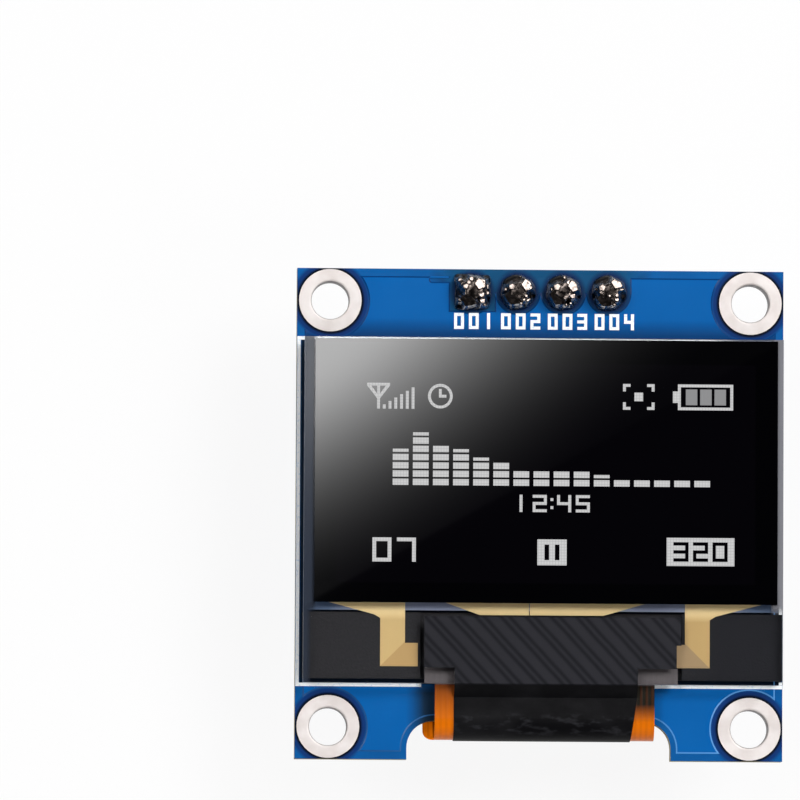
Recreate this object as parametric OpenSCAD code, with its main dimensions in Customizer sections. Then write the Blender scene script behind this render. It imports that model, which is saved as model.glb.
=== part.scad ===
// Small dot-matrix display module: a 0.96 inch emitting glass panel taped to a blue circuit board,
// its amber flex tail folded round a notch in the bottom edge and soldered to the back, four plated
// mounting holes, and a four-pin header soldered through the top edge.
//
// Frame: the board lies in XY with its back face at z = 0 and the display facing +Z, the header edge
// at +Y and the header pins pointing down -Z. The origin is the centre of the four-hole pattern.

/* [Board] */
// Board beyond the glass at each side
side_margin = 0.25; // [0.2:0.05:0.8]
// Board beyond the glass at the header edge
top_margin = 3.95; // [3.75:0.05:4.4]
// Board beyond the glass at the notched edge
bottom_margin = 4.19; // [3.9:0.01:4.8]
// Thickness of the board
board_t = 1.2; // [1:0.1:1.6]
// Distance of the mounting holes from the side edges
hole_inset_x = 1.85; // [1.8:0.05:2.1]
// Distance of the mounting holes from the top and bottom edges
hole_inset_y = 1.8; // [1.8:0.05:2.1]
// Diameter of the plated mounting holes
hole_d = 2.1; // [1.8:0.1:2.4]
// How far the rounded lip of each plated hole opens out at the front
hole_lip = 0.12; // [0.04:0.02:0.14]
// Outer diameter of the plated rings
ring_d = 3.5; // [3:0.1:3.5]
// Thickness of every plated pad and ring
plate_t = 0.05; // [0.04:0.01:0.08]
// Depth of the notch for the flex tail
notch_d = 2.15; // [1.6:0.05:2.2]
// Radius of the notch's inner corners
notch_r = 1.5; // [0.8:0.1:1.6]
// Room between the flex tail and each side of the notch
notch_side = 1.25; // [1:0.05:1.6]

/* [Copper] */
// Thickness of the copper areas under the blue solder mask
copper_t = 0.03; // [0.02:0.005:0.035]
// How far the copper stays back from the board's edges
copper_inset = 0.42; // [0.4:0.02:0.56]
// Gap between the copper and each plated ring
ring_gap = 0.4; // [0.3:0.05:0.7]
// Gap between the copper and each header pad
pad_gap = 0.3; // [0.2:0.05:0.4]

/* [Header] */
// Number of pins
pin_count = 4; // [2:1:6]
// Distance between pins
pin_pitch = 2.54; // [2.54:0.01:2.6]
// Width of a square pin
pin_w = 0.64; // [0.5:0.02:0.66]
// Length of a pin below the plastic
pin_below = 6; // [4:0.5:9]
// Height of a pin above the board's front face
pin_above = 1.35; // [1.2:0.05:1.8]
// Height of the plastic strip
housing_h = 2.5; // [2:0.1:3]
// Width of the plastic strip
housing_w = 2.5; // [2:0.1:2.54]
// Distance of the pin row from the board's top edge
row_inset = 1.27; // [1.25:0.01:1.35]
// Diameter of the round header pads
pad_d = 1.8; // [1.5:0.05:1.9]
// Height of the solder on each front pad
solder_h = 1; // [0.8:0.05:1.1]

/* [Panel] */
// How far the picture, the ledge metal and the tail sit to the right of the board's middle
panel_x = 0.28; // [0:0.02:0.3]
// How far the two glass plates and their foam sit to the right of the board's middle
glass_x = 0.15; // [0:0.01:0.15]
// Width of the front glass
glass_w = 26.7; // [24:0.1:30]
// Height of the front glass
glass_h = 19.26; // [18.9:0.02:21]
// Thickness of the front glass
glass_t = 0.7; // [0.5:0.05:0.9]
// Thickness of the cap glass behind the picture
cap_t = 0.55; // [0.5:0.05:0.7]
// Thickness of the foam adhesive under the cap glass
foam_t = 0.42; // [0.2:0.02:0.6]
// Height of the polariser
polariser_h = 14.7; // [14.5:0.1:14.8]
// Thickness of the polariser
polariser_t = 0.2; // [0.1:0.02:0.3]
// Margin of glass left and right of the polariser
polariser_side = 0.46; // [0.3:0.02:0.6]
// Margin of glass above the polariser
polariser_top = 0.1; // [0.1:0.05:0.3]
// Width of the driver chip on the glass ledge
driver_w = 6.76; // [5.8:0.02:7]
// Height of the driver chip
driver_h = 0.86; // [0.7:0.02:1]
// Thickness of the driver chip
driver_t = 0.3; // [0.2:0.02:0.35]

/* [Ledge metal] */
// Thickness of the metal traces behind the ledge
trace_t = 0.02; // [0.01:0.005:0.03]
// Distance of each side bar's outer end from the glass edge
bar_edge = 1.3; // [1:0.05:1.6]
// Length of each side bar
bar_l = 4.25; // [3.6:0.05:4.8]
// Height of the bars
bar_drop = 0.67; // [0.5:0.01:0.8]
// Width of each side bar's leg
leg_w = 1.38; // [1.1:0.02:1.6]
// Length of each leg, down to its foot
leg_l = 2.25; // [1.9:0.05:2.4]
// How far each foot runs in beyond its leg
foot_l = 0.72; // [0.3:0.02:0.8]
// Height of each foot
foot_h = 1.3; // [1:0.05:1.35]
// Length of the bar over the driver chip
mid_bar_l = 11.1; // [9.8:0.1:12]

/* [Flex tail] */
// Width of the tail's neck
flex_w = 12.24; // [11.6:0.02:12.6]
// Thickness of the film
film_t = 0.1; // [0.06:0.01:0.12]
// How far the film's left shoulder stands out where it leaves the fold
shoulder_w = 0.6; // [0.3:0.05:0.9]
// Width of the soldered end on the back
flex_end_w = 19.6; // [18.8:0.1:19.9]
// Number of soldered contacts
contact_count = 30; // [24:1:30]
// Distance between contacts
contact_pitch = 0.62; // [0.6:0.01:0.62]
// Length of the film on the back, from the fold to the soldered edge
flex_back = 6.44; // [6:0.02:6.6]

/* [Shading tape] */
// Thickness of the black tape
tape_t = 0.06; // [0.04:0.01:0.08]
// Width of the tape where it covers the tail
tape_w = 10.2; // [9.8:0.05:10.8]
// Width of the tape where it covers the driver chip
tape_head_w = 14.3; // [13.8:0.1:14.4]

/* [Back components] */
// Length of a chip capacitor or resistor
chip_l = 1.6; // [1.5:0.05:1.7]
// Width of a chip capacitor or resistor
chip_w = 0.8; // [0.7:0.05:0.85]
// Height of a chip capacitor
capacitor_h = 0.8; // [0.6:0.05:0.9]
// Height of a chip resistor
resistor_h = 0.45; // [0.35:0.05:0.55]
// Length of the regulator's body
regulator_l = 2.9; // [2.7:0.05:3]
// Height of the regulator's body
regulator_h = 1.05; // [0.9:0.05:1.2]

/* [Picture] */
// Distance between the display's dots
dot = 0.16; // [0.14:0.005:0.17]
// Number of equaliser columns
eq_count = 16; // [12:1:16]
// Distance between equaliser columns
eq_pitch = 1.12; // [1:0.005:1.2]
// Width of an equaliser column
eq_w = 0.875; // [0.6:0.025:0.95]
// Distance between the segments of a column
eq_step = 0.46; // [0.4:0.005:0.5]
// Height of a segment
eq_h = 0.35; // [0.25:0.01:0.38]
// Height of the lit flats on the polariser
lit_t = 0.02; // [0.01:0.01:0.04]

/* [Hidden] */
$fn = 64;

past = 1;                 // how far a cut runs beyond what it cuts
ink_t = 0.03;             // height of the white ink above the copper
rear_line = 0.15;         // width of the ink lines on the back
barrel_t = 0.05;          // wall of the plating inside a header pin's hole
eyelet_t = 0.1;           // wall of the plating inside a mounting hole, below its lip

// Board: sized from the panel that it carries
board_w = glass_w + 2 * side_margin;
board_h = top_margin + glass_h + bottom_margin;
board_top = board_h / 2;
board_side = board_w / 2;
hole_x = board_side - hole_inset_x;
hole_y = board_top - hole_inset_y;
notch_w = flex_w + 2 * notch_side;
notch_y = notch_d - board_top;

// Header
row_y = board_top - row_inset;
row_start = -(pin_count - 1) / 2 * pin_pitch;
pin_hole_r = pin_w * sqrt(2) / 2 + 0.01;
pad_top = board_t + plate_t;
pad_window = pad_d + 2 * pad_gap + 0.1;
housing_top = -plate_t;

// Heights of the panel's layers
z_copper = board_t + copper_t;
z_cap = z_copper + foam_t;
z_glass = z_cap + cap_t;
z_face = z_glass + glass_t;
z_screen = z_face + polariser_t;

// Outlines of the panel's layers
glass_y1 = board_top - top_margin;
glass_y0 = glass_y1 - glass_h;
screen_w = glass_w - 2 * polariser_side;
screen_y1 = glass_y1 - polariser_top;
screen_y0 = screen_y1 - polariser_h;
cap_inset = 0.2;
cap_w = glass_w - 2 * cap_inset;
cap_y1 = glass_y1 - cap_inset;
cap_y0 = screen_y0 + 0.05;
foam_inset = 0.2;
ledge_foam_y1 = screen_y0 - 0.5;
ledge_foam_y0 = glass_y0 + 0.28;
driver_x = -0.2;
driver_y1 = screen_y0 - bar_drop - 0.05;

// Flex tail: it leaves the glass, turns half round the notch's edge and runs back over the board
bond_w = tape_head_w - 0.2;
bond_x = 0.35;
bond_h = 0.9;
fold_in = (z_glass - film_t + plate_t) / 2;
fold_out = fold_in + film_t;
fold_z = fold_in - plate_t;
fold_y = notch_y + 0.12;
flex_end_y = fold_y + flex_back;
flare_r = 1.2;
flex_arm_y = fold_y + 0.9;

// Shading tape
tape_x = 0.04;
tape_slant = 0.35;         // how much narrower the tape is at the bend's lowest line
tape_head_x = 0.4;
tape_y1 = screen_y0 - 0.75;
tape_step = 0.25;
tape_step_y = screen_y0 - 2.3;
tape_neck_y = screen_y0 - 3.6;
tape_drop = 0.75;
tape_back = 1;

// Contacts
contact_w = 0.34;
contact_start = -(contact_count - 1) / 2 * contact_pitch;
contact_pad_over = 0.9;
contact_pad_under = 0.8;

// Places of the back components: [x, y, turn], measured from the centre of the component field
field_y = (flex_end_y + contact_pad_over + row_y - housing_w / 2) / 2;
capacitors = [[-8.6, -4.2, 90], [-6.9, -4.2, 90], [-5.2, -4.2, 90], [6.3, -4.2, 90],
              [8, -4.2, 90], [-8.6, 0.2, 0], [-3, 2.4, 90]];
resistors = [[-2.9, -4.2, 90], [-1.2, -4.2, 90], [0.5, -4.2, 90], [2.2, -4.2, 90],
             [3.9, -4.2, 90], [3.2, 0.4, 0], [3.2, 2.2, 0]];
jumpers = [[7.6, 0.4, 0], [7.6, 2.2, 0]];
// How low each header pin's track reaches, and the field's own tracks as [x, y, width, height]
track_ends = [4.4, 1.2, 4.4, 6.2];
field_tracks = [[-6.2, -2.6, 0.22, 4], [-5.4, -2.6, 0.22, 3.2], [-2.2, -2.6, 0.22, 2.4],
                [-1, -2.6, 0.22, 3.6], [0.4, -2.6, 0.22, 5], [-6.2, 1.4, 2.2, 0.22],
                [-1, 1, 3, 0.22], [5.2, 5, 0.22, 0.22]];
regulator_at = [-7, 3.6];
diode_at = [4.6, 5];
chip_end = 0.3;           // length of a chip's tinned end
fillet_l = 0.3;           // how far the solder runs out on the pad
regulator_w = 1.3;
diode_l = 2.7;
diode_w = 1.6;
lead_t = 0.15;
lead_w = 0.4;
lead_out = 0.55;
diode_lead_w = 0.65;

// ---- Shapes that repeat ----

// A profile drawn in the YZ plane, carried along X and centred on it
module along_x(w) {
    translate([-w / 2, 0, 0]) rotate([90, 0, 90]) linear_extrude(w) children();
}

// The four mounting holes' places
module at_holes() {
    for (sx = [-1, 1], sy = [-1, 1]) translate([sx * hole_x, sy * hole_y]) children();
}

// The notch in the bottom edge, with round inner corners, grown on all sides
module notch_outline(grow = 0) {
    w = notch_w + 2 * grow;
    r = notch_r + grow;
    top = notch_y + grow;
    low = -board_top - past;
    translate([-w / 2 + r, low]) square([w - 2 * r, top - low]);
    translate([-w / 2, low]) square([w, top - r - low]);
    for (s = [-1, 1]) translate([s * (w / 2 - r), top - r]) circle(r);
}

// Puts the panel and everything on it a little to the right
module on_panel() {
    translate([panel_x, 0, 0]) children();
}

// Puts the glass plates and what holds them a little to the right
module on_glass() {
    translate([glass_x, 0, 0]) children();
}

// A flat strip between two corners given as low and high
module strip(x0, y0, x1, y1) {
    translate([x0, y0]) square([x1 - x0, y1 - y0]);
}

// A frame of lines w wide inside the given corners
module frame_lines(x0, y0, x1, y1, w) {
    difference() {
        strip(x0, y0, x1, y1);
        strip(x0 + w, y0 + w, x1 - w, y1 - w);
    }
}

// One numeral of straight strokes, w by h, with its low left corner at the origin; a one stands in
// the middle of its place
module numeral(n, w, h, s) {
    if (n == 1) translate([(w - s) / 2, 0]) square([s, h]);
    else stroked(n, w, h, s);
}

module stroked(n, w, h, s) {
    lit = ["1110111", "0010010", "1011101", "1011011", "0111010",
           "1101011", "1101111", "1010010", "1111111", "1111011"][n];
    m = (h - s) / 2;
    if (lit[0] == "1") translate([0, h - s]) square([w, s]);
    if (lit[1] == "1") translate([0, m]) square([s, h - m]);
    if (lit[2] == "1") translate([w - s, m]) square([s, h - m]);
    if (lit[3] == "1") translate([0, m]) square([w, s]);
    if (lit[4] == "1") square([s, m + s]);
    if (lit[5] == "1") translate([w - s, 0]) square([s, m + s]);
    if (lit[6] == "1") square([w, s]);
}

// A row of numerals, each w wide and gap apart, centred on the origin
module numerals(list, w, h, s, gap) {
    total = len(list) * w + (len(list) - 1) * gap;
    for (i = [0:len(list) - 1])
        translate([i * (w + gap) - total / 2, -h / 2]) numeral(list[i], w, h, s);
}

// ---- Board ----

module board_outline() {
    difference() {
        square([board_w, board_h], center = true);
        notch_outline();
    }
}

module circuit_board() {
    color("#17529c") difference() {
        linear_extrude(board_t) board_outline();
        at_holes() translate([0, 0, -past])
            cylinder(h = board_t + 2 * past, r = hole_d / 2 + eyelet_t);
        at_pins() translate([0, 0, -past])
            cylinder(h = board_t + 2 * past, r = pin_hole_r + barrel_t);
    }
}

// Where each header pin stands
module at_pins() {
    for (i = [0:pin_count - 1]) translate([row_start + i * pin_pitch, row_y]) children();
}

// The copper area both faces share: back from the edges, the notch, the rings and the pin row
module copper_field() {
    difference() {
        square([board_w - 2 * copper_inset, board_h - 2 * copper_inset], center = true);
        notch_outline(copper_inset * 0.7);
        at_holes() circle(ring_d / 2 + ring_gap);
        at_pins() circle(pad_d / 2 + pad_gap);
        translate([row_start, row_y])
            square([pad_window, pad_d + pad_gap], center = true);
        strip(row_start, row_y, -row_start + pad_d / 2 + pad_gap, board_top);
    }
}

// Front copper, with a short round-ended slot beside the square first pad's window
module front_copper() {
    slot_l = 1;
    slot_w = 0.24;
    color("#1a68bd") translate([0, 0, board_t]) linear_extrude(copper_t) difference() {
        copper_field();
        translate([row_start - pad_window / 2 - slot_l, row_y + 0.55]) {
            square([slot_l + past, slot_w]);
            translate([0, slot_w / 2]) circle(slot_w / 2);
        }
    }
}

// Back copper: a broad area round the component field, and thin tracks across the field
module rear_copper() {
    track = 0.22;
    field_half = -contact_start + 1;
    low = flex_end_y - contact_pad_under - 0.4;
    high = row_y - pad_d / 2 - pad_gap;
    contacts_y = flex_end_y + contact_pad_over;
    color("#1a68bd") translate([0, 0, -copper_t]) linear_extrude(copper_t) union() {
        difference() {
            copper_field();
            strip(-field_half, low, field_half, high);
        }
        // A track runs up from every contact, a longer one from every third
        for (i = [0:contact_count - 1])
            translate([panel_x + contact_start + i * contact_pitch - track / 2, contacts_y + 0.02])
                square([track, i % 3 == 0 ? 1.3 : 0.7]);
        // Tracks that come down from the header pads into the field
        for (i = [0:pin_count - 1])
            translate([row_start + i * pin_pitch - track / 2, field_y + track_ends[i % 4]])
                square([track, row_y - pad_d / 2 - 0.05 - field_y - track_ends[i % 4]]);
        // Tracks between the two rows of chips
        for (t = field_tracks) translate([t[0], field_y + t[1]]) square([t[2], t[3]]);
    }
}

// Eyelets: a ring on each face and the plated wall between them, whose front lip is rounded over
module hole_platings() {
    bore = hole_d / 2;
    wall = bore + eyelet_t;
    steps = 4;
    color("#e6dcdb") at_holes() rotate_extrude() polygon(concat(
        [[bore, -plate_t], [ring_d / 2, -plate_t], [ring_d / 2, 0], [wall, 0], [wall, board_t],
         [ring_d / 2, board_t], [ring_d / 2, pad_top]],
        [for (k = [0:steps]) let (a = 90 * k / steps)
            [bore + hole_lip * (1 - sin(a)), pad_top - hole_lip * (1 - cos(a))]]));
}

// Header pads: the first is square, the others round
module header_platings() {
    color("#cfd0cf") for (i = [0:pin_count - 1])
        translate([row_start + i * pin_pitch, row_y]) difference() {
            union() {
                cylinder(h = board_t, r = pin_hole_r + barrel_t);
                for (z = [-plate_t, board_t]) translate([0, 0, z])
                    if (i == 0) linear_extrude(plate_t) square(pad_d, center = true);
                    else cylinder(h = plate_t, d = pad_d);
            }
            translate([0, 0, -past]) cylinder(h = board_t + 2 * past, r = pin_hole_r);
        }
}

// ---- Header ----

// Plastic strip with a V-shaped cut between each two cells and at its ends
module header_housing() {
    cut = 0.4;
    long = pin_count * pin_pitch;
    color("#191a1c") translate([0, row_y, housing_top - housing_h]) linear_extrude(housing_h)
        difference() {
            square([long, housing_w], center = true);
            for (i = [0:pin_count], s = [-1, 1])
                translate([i * pin_pitch - long / 2, s * (housing_w / 2 - cut)]) scale([1, s])
                    polygon([[0, 0], [cut + past, cut + past], [-cut - past, cut + past]]);
            for (i = [0:pin_count - 1]) translate([row_start + i * pin_pitch, 0])
                square(pin_w, center = true);
        }
}

// One square pin, tapered to a blunt point at both ends
module header_pin(i) {
    low = housing_top - housing_h - pin_below;
    high = board_t + pin_above;
    a = pin_w / 2;
    tip = 0.45;
    blunt = a * 0.45;
    side = [[-blunt, low], [blunt, low], [a, low + tip], [a, high - tip],
            [blunt, high], [-blunt, high], [-a, high - tip], [-a, low + tip]];
    color("#d9b45a") translate([row_start + (i - 1) * pin_pitch, row_y, 0]) intersection() {
        along_x(pin_w) polygon(side);
        rotate([0, 0, 90]) along_x(pin_w) polygon(side);
    }
}

// Solder drawn up the pin in a hollow cone, rounded over at its top
module solder_joint(i) {
    foot = pad_d / 2;
    neck = pin_hole_r + 0.1;
    steps = 7;
    rise = solder_h * 0.82;
    color("#8d8f92") translate([row_start + (i - 1) * pin_pitch, row_y, pad_top]) difference() {
        rotate_extrude() polygon(concat(
            [[0, 0]],
            [for (k = [0:steps]) let (t = k / steps)
                [neck + (foot - neck) * pow(1 - t, 2), rise * pow(t, 1.15)]],
            [[neck * 0.8, solder_h], [0, solder_h]]));
        translate([0, 0, solder_h / 2])
            cube([pin_w, pin_w, solder_h + 2 * past], center = true);
    }
}

// ---- Panel ----

// Double-sided foam that holds the cap glass to the board
module panel_foam() {
    color("#202124") on_glass() translate([0, 0, z_copper]) linear_extrude(foam_t)
        strip(-cap_w / 2 + foam_inset, cap_y0 + foam_inset, cap_w / 2 - foam_inset,
              cap_y1 - foam_inset);
}

// Black foam strip that backs the glass ledge, with a channel for the driver chip and the tail
module ledge_foam() {
    channel_w = bond_w + 0.5;
    channel_z = z_glass - driver_t - 0.1;
    h = ledge_foam_y1 - ledge_foam_y0;
    color("#232428") on_glass() difference() {
        translate([-glass_w / 2, ledge_foam_y0, z_copper])
            cube([glass_w, h, z_glass - trace_t - z_copper]);
        translate([panel_x - glass_x + bond_x - channel_w / 2, ledge_foam_y0 - past, channel_z])
            cube([channel_w, h + 2 * past, glass_t + past]);
    }
}

// Glass lid that seals the emitting layers from behind
module cap_glass() {
    color("#3b4450") on_glass() translate([0, 0, z_cap]) linear_extrude(cap_t)
        strip(-cap_w / 2, cap_y0, cap_w / 2, cap_y1);
}

// Fillet of sealant along the lid's lower edge, seen through the ledge
module cap_seal() {
    out = (cap_y0 - ledge_foam_y1) * 0.8;
    high = z_glass - trace_t;
    color("#4a5366") on_glass() along_x(cap_w)
        polygon([[cap_y0, z_cap + cap_t * 0.15], [cap_y0, high], [cap_y0 - out, high],
                 [cap_y0 - out * 0.6, high - cap_t * 0.35]]);
}

// Front glass: the picture forms behind its upper part, and its lower part is the ledge
module front_glass() {
    color("#6f8796", 0.35) on_glass() translate([0, 0, z_glass]) linear_extrude(glass_t)
        strip(-glass_w / 2, glass_y0, glass_w / 2, glass_y1);
}

module polariser() {
    color("#08080a") on_panel() translate([0, 0, z_face]) linear_extrude(polariser_t)
        strip(-screen_w / 2, screen_y0, screen_w / 2, screen_y1);
}

// Gold-coloured metal on the back of the ledge: a bent supply bar at each side and a bar over the
// driver chip, split in two
module glass_traces() {
    bar_out = glass_w / 2 - bar_edge;
    leg_in = bar_out - bar_l;
    leg_out = leg_in + leg_w;
    foot_in = leg_in - foot_l;
    split_w = 0.05;
    low_w = driver_w / 2 + 0.06;
    color("#cda970") on_panel() translate([0, cap_y0 - 0.01, z_glass - trace_t])
        linear_extrude(trace_t) {
        for (s = [-1, 1]) scale([s, 1])
            polygon([[bar_out, 0], [leg_in, 0], [leg_in, -leg_l], [foot_in, -leg_l],
                     [foot_in, -leg_l - foot_h], [leg_out, -leg_l - foot_h],
                     [leg_out, -bar_drop * 1.3], [leg_out + bar_drop / 2, -bar_drop]]);
        difference() {
            polygon([[-mid_bar_l / 2, 0], [mid_bar_l / 2, 0],
                     [driver_x + low_w, -bar_drop], [driver_x - low_w, -bar_drop]]);
            translate([driver_x - driver_w / 10 - split_w / 2, -past]) square([split_w, 2 * past]);
        }
    }
}

module driver_chip() {
    color("#3c3f45") on_panel()
        translate([driver_x - driver_w / 2, driver_y1 - driver_h, z_glass - driver_t]) cube([driver_w, driver_h, driver_t]);
}

// ---- Lit picture ----

// How many whole segments, and half segments on top, each equaliser column shows
function eq_level(i) = [4.5, 6.5, 5, 4.5, 3.5, 3, 2, 2, 2, 2, 1.5, 1, 1, 1, 1, 1][i];

module equaliser() {
    for (i = [0:eq_count - 1])
        translate([(i - (eq_count - 1) / 2) * eq_pitch - eq_w / 2, 0]) {
            whole = floor(eq_level(i));
            for (k = [0:whole - 1]) translate([0, k * eq_step]) square([eq_w, eq_h]);
            if (eq_level(i) > whole) translate([0, whole * eq_step]) square([eq_w, eq_h / 2]);
        }
}

// The icons below are drawn in dots, one unit to a dot

// An aerial with six bars beside it that grow to the right
module signal_icon() {
    translate([-8, 3.5]) square([8, 1]);
    translate([-4.5, -4.5]) square([1, 9]);
    polygon([[-8, 3.6], [-6.6, 3.6], [-3.5, -0.6], [-3.5, -2.2]]);
    polygon([[0, 3.6], [-1.4, 3.6], [-4.5, -0.6], [-4.5, -2.2]]);
    for (k = [0:5]) translate([-2.5 + k * 2, -4.5]) square([1, 1.5 + k * 1.2]);
}

// A clock face with two hands
module clock_icon() {
    difference() {
        circle(4.3);
        circle(3.3);
    }
    translate([-0.5, -0.5]) square([1, 3]);
    translate([-0.5, -0.5]) square([2.6, 1]);
}

// Four corner brackets round a square dot
module focus_icon() {
    for (sx = [-1, 1], sy = [-1, 1]) scale([sx, sy]) {
        translate([2.9, 3.5]) square([2.6, 1]);
        translate([4.5, 1.9]) square([1, 2.6]);
    }
    square(3, center = true);
}

// A battery with three full cells and its small pole at the left
module battery_icon() {
    frame_lines(-8.75, -4.5, 10.5, 4.5, 1);
    strip(-10.5, -2, -8.75, 2);
    for (k = [0:2]) translate([-6 + k * 5, -2.75]) square([4, 5.5]);
}

// A lit box with two dark bars cut through it
module pause_icon() {
    difference() {
        square([10.2, 9], center = true);
        for (s = [-1, 1]) translate([s * 1.8, 0]) square([1.6, 5.4], center = true);
    }
}

// Everything but the equaliser, in dots from the middle of the screen
module icons() {
    translate([-54.6, 25.9]) signal_icon();
    translate([-37.1, 25.9]) clock_icon();
    translate([32, 26.2]) focus_icon();
    translate([54.4, 26.2]) battery_icon();
    // A time of day: two numerals, a colon and two more
    translate([-5.6, -11.2]) numerals([1, 2], 4.9, 6, 1, 1.6);
    for (s = [-1, 1]) translate([1.9, -11.2 + s * 1.4]) square(1, center = true);
    translate([9.4, -11.2]) numerals([4, 5], 4.9, 6, 1, 1.6);
    translate([-52.9, -27.6]) numerals([0, 7], 6.6, 8.4, 1.3, 1.9);
    translate([2, -28.2]) pause_icon();
    translate([53.7, -27.7]) difference() {
        square([23.6, 9.8], center = true);
        numerals([3, 2, 0], 5.3, 6.8, 1.2, 1.5);
    }
}

module lit_picture() {
    eq_foot = -5.1 * dot;
    color("#f2f4f6") on_panel() translate([0, (screen_y0 + screen_y1) / 2, z_screen]) linear_extrude(lit_t) {
        translate([1.7 * dot, eq_foot]) equaliser();
        scale([dot, dot, dot]) icons();
    }
}

// ---- Flex tail ----

// The tail's section: straight off the glass, half a turn, then flat over the pads
module film_section(from_y, to_y) {
    strip(fold_y, z_glass - film_t, from_y, z_glass);
    fold_ring(fold_in, fold_out);
    strip(fold_y, -plate_t - film_t, to_y, -plate_t);
}

// Half a ring, bulging towards -Y, about the fold's centre
module fold_ring(inner, outer) {
    translate([fold_y, fold_z]) difference() {
        circle(outer);
        circle(inner);
        strip(0, -outer - past, outer + past, outer + past);
    }
}

// The flat pattern of the wide soldered end, with hollow corners where the neck meets it and a
// round-cornered shoulder at the left that shows below the notch
module flex_end_outline() {
    shoulder_r = shoulder_w * 0.85;
    edge = -flex_w / 2;
    low = fold_y - fold_out;
    difference() {
        strip(edge - shoulder_w, low, edge + film_t, flex_arm_y);
        translate([edge - shoulder_w, low]) difference() {
            translate([-past, -past]) square(shoulder_r + past);
            translate([shoulder_r, shoulder_r]) circle(shoulder_r);
        }
    }
    strip(-flex_end_w / 2, flex_arm_y, flex_end_w / 2, flex_end_y);
    difference() {
        strip(-flex_w / 2 - flare_r, fold_y - fold_out, flex_w / 2 + flare_r, flex_arm_y + film_t);
        for (s = [-1, 1]) translate([s * (flex_w / 2 + flare_r), flex_arm_y - flare_r]) {
            circle(flare_r);
            translate([-flare_r, -2 * fold_out]) square([2 * flare_r, 2 * fold_out]);
        }
    }
}

module flex_film() {
    color("#d9790f") on_panel() union() {
        // Bonded head under the glass ledge
        translate([bond_x - bond_w / 2, glass_y0, z_glass - film_t]) cube([bond_w, bond_h, film_t]);
        // Neck and fold
        along_x(flex_w) film_section(glass_y0 + bond_h, flex_end_y);
        // Wide end, which starts inside the back half of the fold
        intersection() {
            along_x(flex_end_w + past) union() {
                fold_ring(fold_in, fold_out);
                strip(fold_y, -plate_t - film_t, flex_end_y, -plate_t);
            }
            translate([0, 0, -plate_t - film_t]) linear_extrude(fold_z + plate_t + film_t)
                flex_end_outline();
        }
    }
}

// Black tape over the driver chip, the glass edge and the outside of the fold
module shading_tape() {
    head_l = tape_head_x - tape_head_w / 2;
    head_r = tape_head_x + tape_head_w / 2;
    film_top = z_glass;
    tape_low = fold_y - fold_out - 2 * tape_t;
    color("#26272b") on_panel() union() {
        translate([0, 0, z_face]) linear_extrude(tape_t) {
            strip(head_l, tape_step_y, head_r, tape_y1);
            strip(head_l, tape_neck_y, head_r - tape_step, tape_step_y);
        }
        translate([tape_x, 0, 0]) difference() {
            along_x(tape_w) union() {
                strip(glass_y0, z_face, tape_neck_y, z_face + tape_t);
                polygon([[glass_y0, z_face], [glass_y0, z_face + tape_t],
                         [glass_y0 - tape_drop, film_top + tape_t], [glass_y0 - tape_drop, film_top]]);
                strip(fold_y, film_top, glass_y0 - tape_drop, film_top + tape_t);
                fold_ring(fold_out, fold_out + tape_t);
                strip(fold_y, -plate_t - film_t - tape_t, fold_y + tape_back, -plate_t - film_t);
            }
            // The tape was laid a little askew, so its right edge slants in towards the bend
            translate([tape_w / 2, 0, -past]) linear_extrude(z_face + 2 * past)
                polygon([[0, glass_y0 - tape_drop], [-tape_slant, tape_low], [past, tape_low],
                         [past, glass_y0 - tape_drop]]);
        }
    }
}

module at_contacts() {
    on_panel() for (i = [0:contact_count - 1])
        translate([contact_start + i * contact_pitch, 0]) children();
}

module flex_pads() {
    color("#d6cfc2") at_contacts() translate([-contact_w / 2, flex_end_y - contact_pad_under, -plate_t])
        cube([contact_w, contact_pad_over + contact_pad_under, plate_t]);
}

// Each contact's solder: over the film's edge and down onto the pad
module flex_solder() {
    film_low = -plate_t - film_t;
    color("#b9bcc0") at_contacts() along_x(contact_w)
        polygon([[flex_end_y, -plate_t], [flex_end_y + contact_pad_over * 0.85, -plate_t],
                 [flex_end_y + contact_pad_over * 0.7, -plate_t - 0.1],
                 [flex_end_y + 0.1, film_low - 0.1], [flex_end_y - 0.45, film_low - 0.08],
                 [flex_end_y - 0.6, film_low], [flex_end_y, film_low]]);
}

// ---- White ink ----

// Ink lies on the copper where there is some, and on the board where there is none
module front_legend() {
    line = 0.19;
    side_x = board_side - 0.02 - line;
    low_y = glass_y0 - 0.15;
    label_pitch = 2.62;
    label_x = 0.2;
    label_w = 0.55;
    label_h = 0.9;
    gap_l = -notch_w / 2 + notch_side - 0.45;
    gap_r = notch_w / 2 - notch_side + 0.25;
    color("#f2f4f2") difference() {
        translate([0, 0, board_t]) linear_extrude(copper_t + ink_t) {
            difference() {
                frame_lines(-side_x - line, low_y, side_x + line, glass_y1 + 0.12, line);
                strip(gap_l, low_y - past, gap_r, low_y + past);
                // The ledge's foam covers the line at the right
                strip(side_x - past / 2, ledge_foam_y0 - 0.05, side_x + line + past,
                      ledge_foam_y1 + 0.05);
            }
            for (i = [0:pin_count - 1])
                translate([label_x + (i - (pin_count - 1) / 2) * label_pitch, row_y - 1.63])
                    numerals([0, 0, i + 1], label_w, label_h, 0.17, label_w / 2);
        }
        front_copper();
    }
}

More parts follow.
